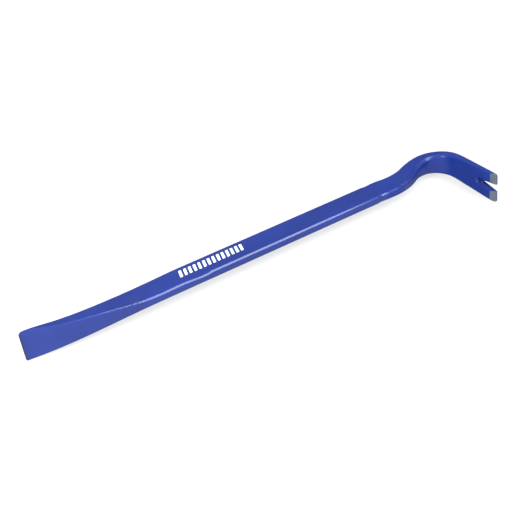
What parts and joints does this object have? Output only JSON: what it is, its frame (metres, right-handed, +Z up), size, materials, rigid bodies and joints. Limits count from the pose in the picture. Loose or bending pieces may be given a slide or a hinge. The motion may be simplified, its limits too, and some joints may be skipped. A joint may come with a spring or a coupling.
{
  "type": "gooseneck pry bar",
  "caption": "Flat-section gooseneck pry bar: a straight shaft drawn out to a flared chisel blade at one end and bent to a slotted nail-pulling claw at the other.",
  "frame": {"origin": "middle of the bar's box in plan, on the surface that the bar lies on", "axes": "+X along the shaft from the chisel edge to the gooseneck's crest, +Y towards the side that the crest bulges to and away from the claw, +Z up, along the width of the blade and claw"},
  "size_m": [0.6008, 0.1235, 0.0388],
  "materials": {
    "blue_enamel": "glossy blue enamel over forged spring steel, ground bare at the claw's two tips",
    "print_ink": "thin off-white printed ink"
  },
  "bodies": {
    "root": {"forged_bar": "blue_enamel", "printed_mark": "print_ink"}
  },
  "joints": []
}
